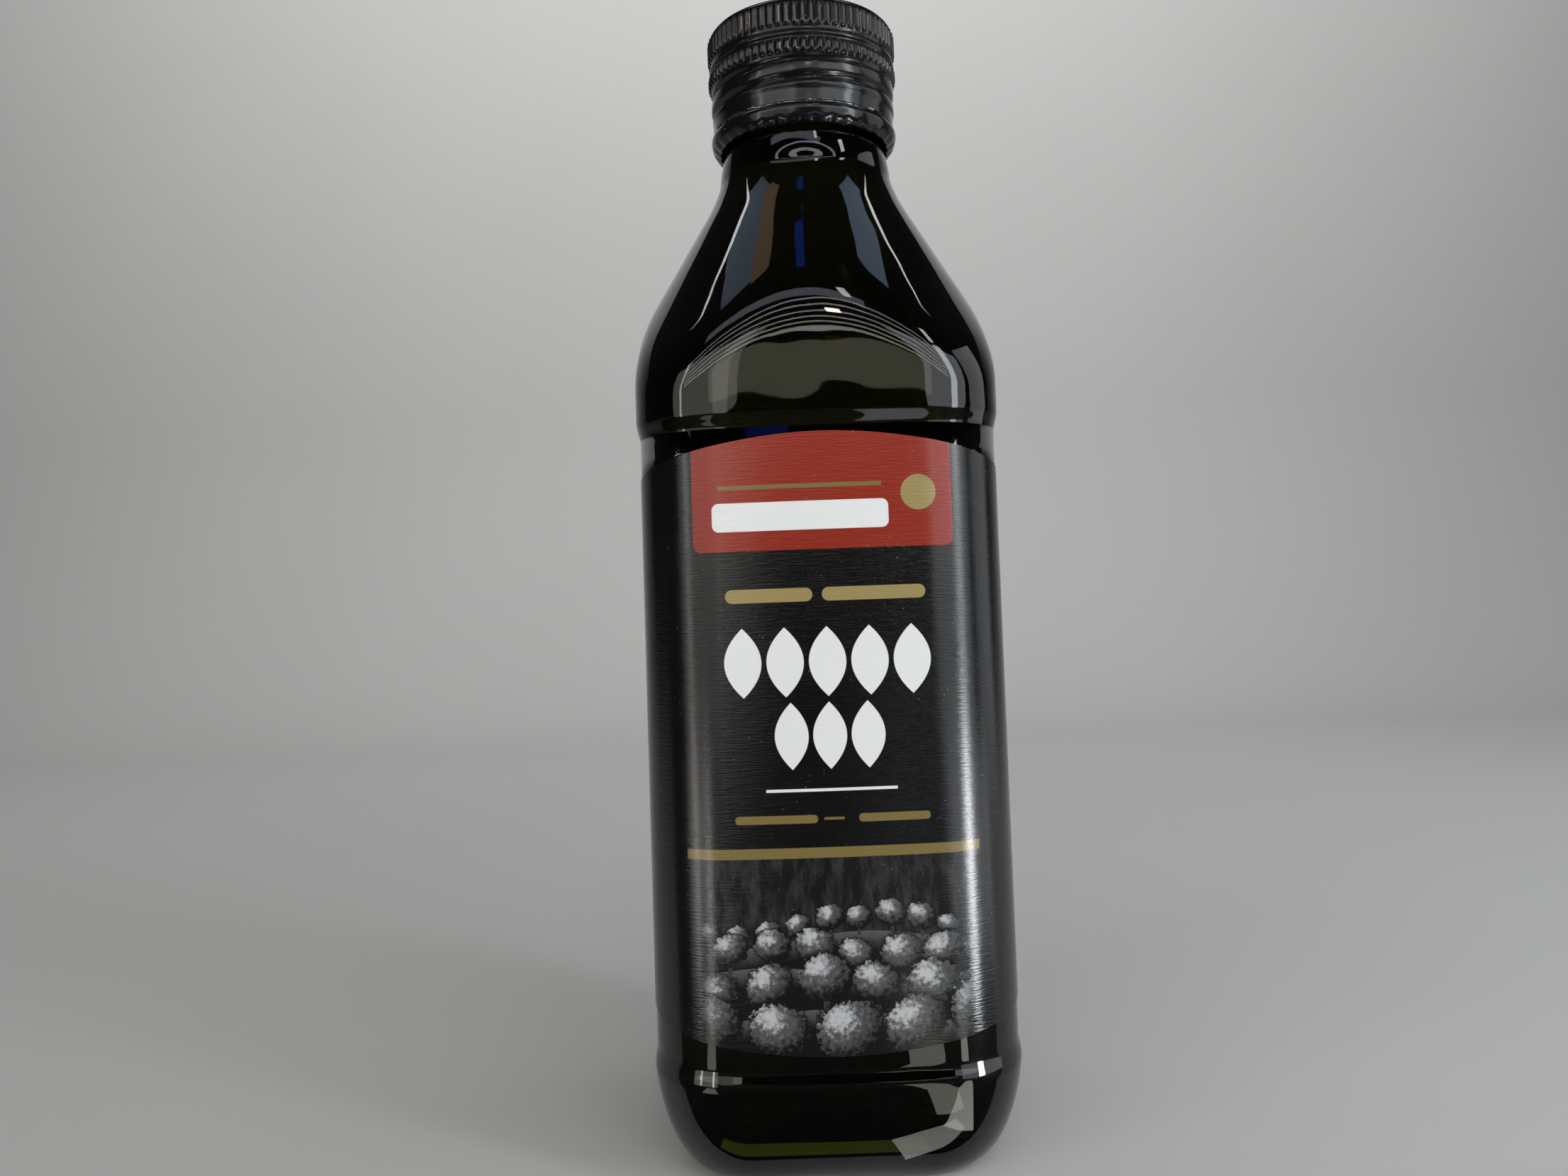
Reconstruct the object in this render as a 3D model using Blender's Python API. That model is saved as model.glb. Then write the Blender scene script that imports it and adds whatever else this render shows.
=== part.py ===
"""Olive oil bottle: a square glass bottle with round corners, its oil, its cap and its wrap-round label.

The bottle stands on its base at z = 0, with its axis on Z and its front face towards -Y.
Metres throughout. Every section is laid out by the distance from the axis to the outline, its reach.
"""

import math

import bmesh
import bpy

# Whole bottle
BODY_HALF_AT_HEEL = 0.0295
BODY_HALF_AT_SHOULDER = 0.02895
SHOULDER_HEIGHT = 0.1187
FACE_RADIUS = 0.200
CORNER_RADIUS = 0.0142

# Heel and base
HEEL_HEIGHT = 0.021
HEEL_RUN = 0.0099
REST_RING_WIDTH = 0.003
PUSH_UP_DEPTH = 0.003
# Rings of the hollowed underside: share of the way out to the rest ring, share of the depth
PUSH_UP_RINGS = ((0.35, 0.9), (0.75, 0.45), (1.0, 0.0))

# Label panel, sunk between the two fuller bands
RECESS_DEPTH = 0.0007
RECESS_LOW = 0.0170
RECESS_HIGH = 0.1151
RECESS_BLEND = 0.0016

# Shoulder cone and neck
CONE_RADIUS = 0.02315
CONE_HEIGHT = 0.1417
CONE_SLOPE = 0.598
SHOULDER_BLEND = 0.0028
NECK_RADIUS = 0.01336
NECK_BLEND = 0.004
NECK_BLEND_LOW = 0.1482
COLLAR_RISE = 0.00035
COLLAR_LOW = 0.1574
COLLAR_HIGH = 0.1634
LIP_HEIGHT = 0.1815
LIP_ROUND = 0.0006

# Glass thickness and the hollow
WALL = 0.003
FLOOR = 0.0065
FLOOR_RISE = 0.002
INNER_HEEL_HEIGHT = 0.011
INNER_HEEL_RUN = 0.008
INNER_BLEND = 0.006
INNER_SHOULDER_LOW = 0.1127
INNER_SHOULDER_HIGH = 0.1377
BORE_RADIUS = 0.0100
BORE_LOW = 0.1599

# Oil, with its clearance from the sloping glass
OIL_LEVEL = 0.1660
OIL_GAP = 0.0005

# Clearance between neighbouring pieces
GAP = 0.0003

# Label
LABEL_THICKNESS = 0.0002
LABEL_TOP = 0.1122
LABEL_BOTTOM = 0.0211
LABEL_TOP_DIP = 0.0070
LABEL_BOTTOM_DIP = 0.0062

# Cap: tuples of rings give the height and the radius of each, from the top down
CAP_TOP = 0.1832
CAP_CROWN = ((0.1829, 0.0126), (CAP_TOP, 0.0136), (0.1831, 0.0148), (0.1826, 0.0155))
CAP_BEAD = ((0.1780, 0.01535), (0.1773, 0.0157), (0.1767, 0.01535))
CAP_RIM = 0.1633
CAP_RIM_INSIDE = ((0.1635, 0.0141), (0.1650, 0.0144), (0.1820, 0.0144))
KNURLS = 72
KNURL_TIP = 0.01592
KNURL_ROOT = 0.01545
UPPER_KNURLS = (0.1821, 0.1785)
LOWER_KNURLS = (0.1763, 0.1743)
SKIRT_RADIUS = 0.01525
THREAD_LOW = 0.1684
THREAD_HIGH = 0.1740
THREAD_FRONT = 0.1704
THREAD_PITCH = 0.0031
THREAD_CREST = 0.0155
THREAD_DEPTH = 0.0006
THREAD_FADE = 0.0008
BRIDGES = 9
SLIT_HIGH = 0.1666
SLIT_FLOOR = (0.1665, 0.1663)
SLIT_RADIUS = 0.0150
LOWER_BEAD = ((0.1662, 0.0153), (0.1654, 0.01565), (0.1647, 0.0155))
# Crimped edge: height, outer and inner radius of its waves
CRIMPS = ((0.1638, 0.0152, 0.0149), (CAP_RIM, 0.0146, 0.0144))

# Points round the bottle: steps over half a face and over half a corner
FACE_STEPS = 3
CORNER_STEPS = 3

# Levels over the hollow's floor where its rounded corner is cut into bands
FLOOR_CORNER_LEVELS = (0.0110, 0.0070, 0.0038, 0.0015, 0.0003)
# Rings of the domed floor: share of the way out to the wall, share of the rise
FLOOR_RINGS = ((0.5, 0.5), (0.15, 1.0))

# Counts of rings over each stretch of the bottle
HEEL_LEVELS = 7
RECESS_LEVELS = 4
SHOULDER_LEVELS = 12
NECK_LEVELS = 5
COLLAR_LEVELS = 4
INNER_SHOULDER_LEVELS = 6
THREAD_LEVELS = 12
GIRTH_STEPS = 48
SHARP_ANGLE = math.radians(35.0)

GLASS_COLOUR = (0.035, 0.055, 0.012, 1.0)
OIL_COLOUR = (0.42, 0.36, 0.03, 1.0)
CAP_COLOUR = (0.012, 0.012, 0.013, 1.0)
LABEL_COLOUR = (0.018, 0.019, 0.021, 1.0)


def clear_scene():
    """Removes every object of the open scene."""
    for old in list(bpy.data.objects):
        bpy.data.objects.remove(old, do_unlink=True)


def smooth_step(value):
    """Goes from 0 to 1 with a level start and end."""
    t = min(max(value, 0.0), 1.0)
    return t * t * (3.0 - 2.0 * t)


def smooth_min(a, b, blend):
    """The lesser of two lengths, rounded where they are within a blend of each other."""
    share = max(blend - abs(a - b), 0.0) / blend
    return min(a, b) - share * share * blend / 4.0


def smooth_max(a, b, blend):
    """The greater of two lengths, rounded in the same way."""
    return -smooth_min(-a, -b, blend)


def corner_centre(half):
    """Offset of a corner's arc centre, where that arc touches both crowned faces."""
    sink = half - FACE_RADIUS
    span = FACE_RADIUS - CORNER_RADIUS
    return (sink + math.sqrt(2.0 * span * span - sink * sink)) / 2.0


def tangent_angle(half):
    """Direction from a face's middle to where its crowned arc meets the corner's arc."""
    centre = corner_centre(half)
    sink = half - FACE_RADIUS
    span = FACE_RADIUS - CORNER_RADIUS
    across = FACE_RADIUS * centre / span
    along = sink + FACE_RADIUS * (centre - sink) / span
    return math.atan2(across, along)


def circle_reach(angle, across, along, radius):
    """Distance from the axis to a circle, looking at an angle from the face's normal."""
    dot = across * math.sin(angle) + along * math.cos(angle)
    return dot + math.sqrt(radius * radius - across * across - along * along + dot * dot)


def square_reach(angle, half):
    """Reach of the square outline with crowned faces and round corners."""
    quarter = math.pi / 2.0
    folded = angle % quarter
    folded = min(folded, quarter - folded)
    if folded < tangent_angle(half):
        return circle_reach(folded, 0.0, half - FACE_RADIUS, FACE_RADIUS)
    centre = corner_centre(half)
    return circle_reach(folded, centre, centre, CORNER_RADIUS)


def body_half(height):
    """Half width of the body, which is a little fuller at the heel."""
    share = min(max(height / SHOULDER_HEIGHT, 0.0), 1.0)
    return BODY_HALF_AT_HEEL + (BODY_HALF_AT_SHOULDER - BODY_HALF_AT_HEEL) * share


def heel_drop(height, heel_height, heel_run):
    """How far the heel's quarter ellipse draws the outline in."""
    share = min(max(1.0 - height / heel_height, 0.0), 1.0)
    return heel_run * (1.0 - math.sqrt(1.0 - share * share))


def recess(height):
    """Depth of the label panel below the fuller bands."""
    up = smooth_step((height - RECESS_LOW) / RECESS_BLEND)
    down = smooth_step((RECESS_HIGH - height) / RECESS_BLEND)
    return RECESS_DEPTH * up * down


def cone_radius(height):
    """Radius of the shoulder's cone."""
    return CONE_RADIUS - (height - CONE_HEIGHT) * CONE_SLOPE


def collar(height):
    """Swell of the low collar round the neck, just under the cap."""
    share = (height - COLLAR_LOW) / (COLLAR_HIGH - COLLAR_LOW)
    return COLLAR_RISE * math.sin(math.pi * share) if 0.0 < share < 1.0 else 0.0


def outer_reach(angle, height):
    """Reach of the outside of the glass."""
    side = square_reach(angle, body_half(height)) - heel_drop(height, HEEL_HEIGHT, HEEL_RUN) - recess(height)
    shoulder = smooth_min(side, cone_radius(height), SHOULDER_BLEND)
    return smooth_max(shoulder, NECK_RADIUS, NECK_BLEND) + collar(height)


def hollow_reach(angle, height, clear=0.0):
    """Reach of the hollow in the glass, drawn in by a clearance for what fills it."""
    floor_drop = heel_drop(height - FLOOR, INNER_HEEL_HEIGHT, INNER_HEEL_RUN)
    side = square_reach(angle, body_half(height)) - WALL - RECESS_DEPTH - floor_drop
    cone = cone_radius(height) - WALL * math.hypot(1.0, CONE_SLOPE)
    shoulder = smooth_min(side, cone, INNER_BLEND)
    return smooth_max(shoulder, BORE_RADIUS, NECK_BLEND) - clear


def section_angles():
    """Directions of the points of a section, closer together over the corners."""
    meet = tangent_angle(BODY_HALF_AT_SHOULDER)
    eighth = [meet * i / FACE_STEPS for i in range(FACE_STEPS)]
    eighth += [meet + (math.pi / 4.0 - meet) * i / CORNER_STEPS for i in range(CORNER_STEPS)]
    quarter = eighth + [math.pi / 4.0] + [math.pi / 2.0 - a for a in reversed(eighth[1:])]
    return [turn * math.pi / 2.0 + a for turn in range(4) for a in quarter]


def even_angles(count):
    """Directions that share a full turn evenly."""
    return [2.0 * math.pi * i / count for i in range(count)]


def add_ring(mesh, angles, reaches, heights):
    """Adds one ring of points and returns them."""
    points = []
    for angle, reach, height in zip(angles, reaches, heights):
        points.append(mesh.verts.new((reach * math.cos(angle), reach * math.sin(angle), height)))
    return points


def band(mesh, ring, other):
    """Skins the band between two rings, of which one may have twice the points of the other."""
    coarse, fine = sorted((ring, other), key=len)
    step = len(fine) // len(coarse)
    for i, start in enumerate(coarse):
        end = coarse[(i + 1) % len(coarse)]
        near = fine[i * step]
        far = fine[(i + 1) * step % len(fine)]
        if step == 1:
            mesh.faces.new((start, end, far, near))
            continue
        middle = fine[i * step + 1]
        mesh.faces.new((start, end, middle))
        mesh.faces.new((start, middle, near))
        mesh.faces.new((end, far, middle))


def skin(mesh, rings):
    """Skins the bands between neighbouring rings, in order."""
    for ring, other in zip(rings, rings[1:]):
        band(mesh, ring, other)


def skin_and_close(mesh, rings):
    """Skins the bands and fills the first and the last ring with one level face each."""
    skin(mesh, rings)
    mesh.faces.new(rings[0])
    mesh.faces.new(rings[-1])


def make_material(name, colour, roughness, metallic):
    """A Principled material with one colour."""
    material = bpy.data.materials.new(name)
    material.use_nodes = True
    shader = material.node_tree.nodes["Principled BSDF"]
    shader.inputs["Base Color"].default_value = colour
    shader.inputs["Roughness"].default_value = roughness
    shader.inputs["Metallic"].default_value = metallic
    return material


def finish(mesh, name, material):
    """Turns the faces out, makes the object and shades it smooth between its sharp edges."""
    bmesh.ops.recalc_face_normals(mesh, faces=mesh.faces)
    data = bpy.data.meshes.new(name)
    mesh.to_mesh(data)
    mesh.free()
    data.materials.append(material)
    data.shade_smooth()
    data.set_sharp_from_angle(angle=SHARP_ANGLE)
    made = bpy.data.objects.new(name, data)
    bpy.context.scene.collection.objects.link(made)
    return made


def spread(low, high, count):
    """Heights from low to high in even steps, both ends included."""
    return [low + (high - low) * i / (count - 1) for i in range(count)]


def heel_heights(base, height, count):
    """Heights up a heel, closer together where it curves most."""
    return [base + height * (1.0 - math.cos(math.pi / 2.0 * i / count)) for i in range(count)]


def add_levels(mesh, angles, heights, reach_at):
    """Adds a ring at each height, shaped by a reach function of angle and height."""
    rings = []
    for height in heights:
        rings.append(add_ring(mesh, angles, [reach_at(a, height) for a in angles], [height] * len(angles)))
    return rings


def underside_rings(mesh, angles):
    """Rings of the hollowed underside, from its middle out to the flat rest ring."""
    rings = []
    for share, rise in PUSH_UP_RINGS:
        reaches = [(outer_reach(a, 0.0) - REST_RING_WIDTH) * share for a in angles]
        rings.append(add_ring(mesh, angles, reaches, [PUSH_UP_DEPTH * rise] * len(angles)))
    return rings


def floor_rings(mesh, angles, foot):
    """Rings of the domed floor of the hollow, from its edge to its middle."""
    rings = []
    for share, rise in FLOOR_RINGS:
        reaches = [hollow_reach(a, FLOOR) * share for a in angles]
        rings.append(add_ring(mesh, angles, reaches, [foot + FLOOR_RISE * rise] * len(angles)))
    return rings


def make_bottle():
    """The glass: base, heel, sunk panel, shoulder, neck, lip, and the hollow down to the floor."""
    mesh = bmesh.new()
    angles = section_angles()
    count = len(angles)
    lip_edge = LIP_HEIGHT - LIP_ROUND
    outside = heel_heights(0.0, HEEL_HEIGHT, HEEL_LEVELS)
    outside += spread(RECESS_LOW, RECESS_LOW + RECESS_BLEND, RECESS_LEVELS) + [HEEL_HEIGHT]
    outside += spread(RECESS_HIGH - RECESS_BLEND, RECESS_HIGH, RECESS_LEVELS)
    outside += spread(SHOULDER_HEIGHT, CONE_HEIGHT, SHOULDER_LEVELS)
    outside += spread(NECK_BLEND_LOW, COLLAR_LOW, NECK_LEVELS)
    outside += spread(COLLAR_LOW, COLLAR_HIGH, COLLAR_LEVELS + 1)[1:] + [lip_edge]
    inside = [lip_edge, BORE_LOW] + spread(COLLAR_LOW, CONE_HEIGHT, COLLAR_LEVELS)
    inside += spread(INNER_SHOULDER_HIGH, INNER_SHOULDER_LOW, INNER_SHOULDER_LEVELS)
    inside += [FLOOR + h for h in FLOOR_CORNER_LEVELS]

    rings = underside_rings(mesh, angles)
    rings += add_levels(mesh, angles, outside, outer_reach)
    for reach in (NECK_RADIUS - LIP_ROUND, BORE_RADIUS + LIP_ROUND):
        rings.append(add_ring(mesh, angles, [reach] * count, [LIP_HEIGHT] * count))
    rings += add_levels(mesh, angles, inside, hollow_reach)
    rings += floor_rings(mesh, angles, FLOOR)
    skin_and_close(mesh, rings)
    return finish(mesh, "bottle", make_material("green_glass", GLASS_COLOUR, 0.04, 0.0))


def make_oil():
    """The oil: fills the hollow up to a level surface in the neck."""
    mesh = bmesh.new()
    angles = section_angles()
    foot = FLOOR + GAP
    levels = [foot + h for h in reversed(FLOOR_CORNER_LEVELS)]
    levels += spread(INNER_SHOULDER_LOW, INNER_SHOULDER_HIGH, INNER_SHOULDER_LEVELS)
    levels += spread(CONE_HEIGHT, COLLAR_LOW, COLLAR_LEVELS) + [BORE_LOW, OIL_LEVEL]

    def reach_at(angle, height):
        return hollow_reach(angle, height - GAP, OIL_GAP)

    rings = list(reversed(floor_rings(mesh, angles, foot)))
    rings += add_levels(mesh, angles, levels, reach_at)
    skin_and_close(mesh, rings)
    return finish(mesh, "oil", make_material("olive_oil", OIL_COLOUR, 0.05, 0.0))


def girth_share(angle, height):
    """Share of the way from the middle of the front or back to the middle of a side, along the outline."""
    from_middle = abs(angle % math.pi - math.pi / 2.0)
    turns = [math.pi / 2.0 * i / GIRTH_STEPS for i in range(GIRTH_STEPS + 1)]
    points = [(square_reach(a, body_half(height)), a) for a in turns]
    length = 0.0
    before = 0.0
    for (r0, a0), (r1, a1) in zip(points, points[1:]):
        step = math.sqrt(r0 * r0 + r1 * r1 - 2.0 * r0 * r1 * math.cos(a1 - a0))
        length += step
        before += step * min(max((from_middle - a0) / (a1 - a0), 0.0), 1.0)
    return before / length


def label_dip(angle, height, dip):
    """How far the label's edge lies from its place at the middle of the front or the back."""
    return dip * (1.0 - math.cos(math.pi * girth_share(angle, height))) / 2.0


def make_label():
    """The label: one sheet round the sunk panel, its edges bowed out over the front and the back."""
    mesh = bmesh.new()
    angles = section_angles()
    tops = [LABEL_TOP - label_dip(a, LABEL_TOP, LABEL_TOP_DIP) for a in angles]
    bottoms = [LABEL_BOTTOM + label_dip(a, LABEL_BOTTOM, LABEL_BOTTOM_DIP) for a in angles]
    rings = []
    outer = GAP + LABEL_THICKNESS
    for heights, lift in ((bottoms, GAP), (bottoms, outer), (tops, outer), (tops, GAP)):
        reaches = [outer_reach(a, h) + lift for a, h in zip(angles, heights)]
        rings.append(add_ring(mesh, angles, reaches, heights))
    skin(mesh, rings + rings[:1])
    return finish(mesh, "label", make_material("printed_paper", LABEL_COLOUR, 0.35, 0.0))


def thread_reach(angle, height):
    """Skirt radius over the rolled thread, whose narrow valley climbs one pitch in a turn."""
    turn = (angle / (2.0 * math.pi) + 0.25) % 1.0
    phase = (height - THREAD_FRONT) / THREAD_PITCH - turn
    valley = (0.5 + 0.5 * math.cos(2.0 * math.pi * phase)) ** 3
    fade = smooth_step((height - THREAD_LOW) / THREAD_FADE) * smooth_step((THREAD_HIGH - height) / THREAD_FADE)
    return SKIRT_RADIUS + (THREAD_CREST - SKIRT_RADIUS - THREAD_DEPTH * valley) * fade


def cap_rings(mesh, rings):
    """Plain round rings of the cap, one for each height and radius given."""
    angles = even_angles(KNURLS)
    return [add_ring(mesh, angles, [radius] * KNURLS, [height] * KNURLS) for height, radius in rings]


def knurl_rings(mesh, heights):
    """Rings whose points stand in turn on the tips and in the roots of the knurling."""
    angles = even_angles(2 * KNURLS)
    reaches = [KNURL_TIP, KNURL_ROOT] * KNURLS
    return [add_ring(mesh, angles, reaches, [height] * len(angles)) for height in heights]


def slit_rings(mesh):
    """Rings along the bottom of the tear line, full at each of its bridges."""
    every = KNURLS // BRIDGES
    angles = even_angles(KNURLS)
    reaches = [SLIT_RADIUS if i % every else SKIRT_RADIUS for i in range(KNURLS)]
    return [add_ring(mesh, angles, reaches, [height] * KNURLS) for height in SLIT_FLOOR]


def crimp_rings(mesh):
    """Rings that go in and out along the crimped edge."""
    angles = even_angles(KNURLS)
    rings = []
    for height, high, low in CRIMPS:
        rings.append(add_ring(mesh, angles, [high if i % 2 else low for i in range(KNURLS)], [height] * KNURLS))
    return rings


def make_cap():
    """The cap: a thin metal shell, knurled, threaded, slit and crimped from top to bottom."""
    mesh = bmesh.new()
    rings = cap_rings(mesh, CAP_CROWN)
    rings += knurl_rings(mesh, UPPER_KNURLS)
    rings += cap_rings(mesh, CAP_BEAD)
    rings += knurl_rings(mesh, LOWER_KNURLS)
    rings += add_levels(mesh, even_angles(KNURLS), spread(THREAD_HIGH, THREAD_LOW, THREAD_LEVELS), thread_reach)
    rings += cap_rings(mesh, ((SLIT_HIGH, SKIRT_RADIUS),))
    rings += slit_rings(mesh)
    rings += cap_rings(mesh, LOWER_BEAD)
    rings += crimp_rings(mesh)
    rings += cap_rings(mesh, CAP_RIM_INSIDE)
    skin_and_close(mesh, rings)
    return finish(mesh, "cap", make_material("black_aluminium", CAP_COLOUR, 0.3, 0.6))


clear_scene()
make_bottle()
make_oil()
make_label()
make_cap()
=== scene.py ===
# %% [markdown]
# # A bottle of olive oil
# The solid model gives every piece of the bottle its true size. This lesson dresses it: each piece
# is modelled again with a fine surface, given a finish, and lit in a small studio.
#
# The first cell loads the solid model. It is the ruler for all that follows.

# %% Load the solid model
import math

import bmesh
import bpy
from mathutils import Matrix, Vector


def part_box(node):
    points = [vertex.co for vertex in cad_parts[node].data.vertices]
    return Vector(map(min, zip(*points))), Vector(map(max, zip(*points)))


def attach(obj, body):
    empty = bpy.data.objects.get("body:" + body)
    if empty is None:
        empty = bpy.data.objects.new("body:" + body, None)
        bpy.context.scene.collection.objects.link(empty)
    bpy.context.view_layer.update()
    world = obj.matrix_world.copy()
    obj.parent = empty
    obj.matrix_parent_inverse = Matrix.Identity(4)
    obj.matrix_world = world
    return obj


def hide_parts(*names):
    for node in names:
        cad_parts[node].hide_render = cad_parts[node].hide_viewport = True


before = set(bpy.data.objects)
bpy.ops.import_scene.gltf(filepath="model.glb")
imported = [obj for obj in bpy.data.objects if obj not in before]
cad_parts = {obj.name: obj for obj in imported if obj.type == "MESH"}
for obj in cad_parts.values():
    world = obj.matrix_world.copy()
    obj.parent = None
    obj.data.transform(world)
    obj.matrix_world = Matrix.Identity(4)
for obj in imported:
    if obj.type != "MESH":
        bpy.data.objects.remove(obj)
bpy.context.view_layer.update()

# %% [markdown]
# ## Measures
# Levels that the solids already hold are read from their boxes, so that the fine pieces end where
# the solids do. All measures are in metres.

# %% Read the levels
LIP_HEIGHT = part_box("bottle")[1][2]
OIL_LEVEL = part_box("oil")[1][2]
LABEL_BOTTOM, LABEL_TOP = (corner[2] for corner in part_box("label"))
CAP_RIM, CAP_TOP = (corner[2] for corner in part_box("cap"))
print("lip", round(LIP_HEIGHT, 4), "oil", round(OIL_LEVEL, 4), "cap", round(CAP_RIM, 4), round(CAP_TOP, 4))

# %% [markdown]
# The other dimensions are those on a mould maker's drawing. The label's panel is sunk a little
# between two fuller bands, which keep the print from rubbing.

# %% Driving dimensions of the glass
BODY_HALF_AT_HEEL = 0.0295
BODY_HALF_AT_SHOULDER = 0.02895
SHOULDER_HEIGHT = 0.1187
SHOULDER_CROWN = 2.9
FACE_RADIUS = 0.200
CORNER_RADIUS = 0.0142
HEEL_HEIGHT = 0.021
HEEL_RUN = 0.0099
REST_RING_WIDTH = 0.003
PUSH_UP_DEPTH = 0.003
RECESS_DEPTH = 0.0007
RECESS_LOW = 0.0160
RECESS_HIGH = 0.1161
RECESS_BLEND = 0.0036
CONE_RADIUS = 0.02315
CONE_HEIGHT = 0.1417
CONE_SLOPE = 0.598
SHOULDER_BLEND = 0.0028
NECK_RADIUS = 0.01336
NECK_BLEND = 0.004
COLLAR_RISE = 0.00035
COLLAR_LOW = 0.1574
COLLAR_HIGH = 0.1634
LIP_ROUND = 0.0006
WALL = 0.003
FLOOR = 0.0065
FLOOR_RISE = 0.002
INNER_HEEL_HEIGHT = 0.011
INNER_HEEL_RUN = 0.008
INNER_BLEND = 0.006
BORE_RADIUS = 0.0100
HAIR = 0.0001
print("body", round(BODY_HALF_AT_HEEL * 2000.0, 1), "mm wide, neck", round(NECK_RADIUS * 2000.0, 1), "mm")

# %% [markdown]
# ## The mould
# A square bottle with round corners is blown: a round bubble of glass is pressed out against the
# walls of a mould. The same idea works here. Every wall is first turned on a lathe, perfectly
# round, and each point is then pushed out to the mould. So the mould is a rule that says how far
# the wall lies from the axis, its reach, in any direction and at any height.
#
# A Boolean of a square block and a cone would leave a hard edge where they meet. The rule rounds
# that edge into the soft arch over each face, which is where glass shines.

# %% Rules for rounding
def smooth_step(value):
    """Goes from 0 to 1 with a level start and end."""
    t = min(max(value, 0.0), 1.0)
    return t * t * (3.0 - 2.0 * t)


def smooth_min(a, b, blend):
    """The lesser of two lengths, rounded where they are within a blend of each other."""
    share = max(blend - abs(a - b), 0.0) / blend
    return min(a, b) - share * share * blend / 4.0


def smooth_max(a, b, blend):
    """The greater of two lengths, rounded in the same way."""
    return -smooth_min(-a, -b, blend)


print("1 and 1, rounded:", smooth_min(1.0, 1.0, 0.2), smooth_max(1.0, 1.0, 0.2))

# %% [markdown]
# Each face of the body is a wide arc and no true flat, because blown glass swells a little. A tight
# arc rounds each corner, and both arcs have one tangent where they meet, so that no crease shows.

# %% Square outline with crowned faces
def corner_centre(half):
    """Offset of a corner's arc centre, where that arc touches both crowned faces."""
    sink = half - FACE_RADIUS
    span = FACE_RADIUS - CORNER_RADIUS
    return (sink + math.sqrt(2.0 * span * span - sink * sink)) / 2.0


def circle_reach(angle, across, along, radius):
    """Distance from the axis to a circle, looking at an angle from the face's normal."""
    dot = across * math.sin(angle) + along * math.cos(angle)
    return dot + math.sqrt(radius * radius - across * across - along * along + dot * dot)


def square_reach(angle, half):
    """Reach of the square outline: a wide arc over each face, a tight one round each corner."""
    folded = angle % (math.pi / 2.0)
    folded = min(folded, math.pi / 2.0 - folded)
    centre = corner_centre(half)
    sink = half - FACE_RADIUS
    lean = FACE_RADIUS / (FACE_RADIUS - CORNER_RADIUS)
    meet = math.atan2(centre * lean, sink + (centre - sink) * lean)
    if folded < meet:
        return circle_reach(folded, 0.0, sink, FACE_RADIUS)
    return circle_reach(folded, centre, centre, CORNER_RADIUS)


print("corner over face:", round(square_reach(math.pi / 4.0, BODY_HALF_AT_HEEL) / BODY_HALF_AT_HEEL, 3))

# %% [markdown]
# From the foot up, the outside is the square body, drawn in at the heel and sunk at the panel, then
# cut by the shoulder's cone, and never slimmer than the neck. The hollow follows the same rules a
# wall further in, with softer turns, because glass runs thick in its corners.

# %% Outside and inside of the glass
def body_half(height):
    """Half width of the body, which is a little fuller at the heel."""
    share = min(max(height / SHOULDER_HEIGHT, 0.0), 1.0)
    crown = SHOULDER_CROWN * max(height - SHOULDER_HEIGHT, 0.0) ** 2
    return BODY_HALF_AT_HEEL + (BODY_HALF_AT_SHOULDER - BODY_HALF_AT_HEEL) * share - crown


def heel_drop(height, heel_height, heel_run):
    """How far the heel's quarter ellipse draws the outline in."""
    share = min(max(1.0 - height / heel_height, 0.0), 1.0)
    return heel_run * (1.0 - math.sqrt(1.0 - share * share))


def recess(height):
    """Depth of the label panel below the fuller bands."""
    up = smooth_step((height - RECESS_LOW) / RECESS_BLEND)
    return RECESS_DEPTH * up * smooth_step((RECESS_HIGH - height) / RECESS_BLEND)


def cone_radius(height):
    """Radius of the shoulder's cone."""
    return CONE_RADIUS - (height - CONE_HEIGHT) * CONE_SLOPE


def collar(height):
    """Swell of the low collar round the neck, just under the cap."""
    share = (height - COLLAR_LOW) / (COLLAR_HIGH - COLLAR_LOW)
    return COLLAR_RISE * math.sin(math.pi * share) if 0.0 < share < 1.0 else 0.0


def outer_reach(angle, height):
    """Reach of the outside of the glass."""
    side = square_reach(angle, body_half(height))
    side = side - heel_drop(height, HEEL_HEIGHT, HEEL_RUN) - recess(height)
    shoulder = smooth_min(side, cone_radius(height), SHOULDER_BLEND)
    return smooth_max(shoulder, NECK_RADIUS, NECK_BLEND) + collar(height)


def hollow_reach(angle, height):
    """Reach of the hollow inside the glass."""
    floor_drop = heel_drop(height - FLOOR, INNER_HEEL_HEIGHT, INNER_HEEL_RUN)
    side = square_reach(angle, body_half(height)) - WALL - RECESS_DEPTH - floor_drop
    cone = cone_radius(height) - WALL * math.hypot(1.0, CONE_SLOPE)
    return smooth_max(smooth_min(side, cone, INNER_BLEND), BORE_RADIUS, NECK_BLEND)


PANEL_MIDDLE = 0.066
for angle in (0.0, math.pi / 4.0):
    print("glass reaches", round(outer_reach(angle, PANEL_MIDDLE) * 1000.0, 1), "mm, hollow",
          round(hollow_reach(angle, PANEL_MIDDLE) * 1000.0, 1), "mm")

# %% [markdown]
# ## Lathe and mould tools
# The lathe tool draws a profile as one would by hand: one point, extruded step by step, and then
# spun once round the axis. Operators act on all that is selected, so everything is deselected
# before a new piece is started.

# %% Lathe and mould
def spread(low, high, count):
    """Heights from low to high in even steps, both ends included."""
    return [low + (high - low) * i / (count - 1) for i in range(count)]


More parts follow.
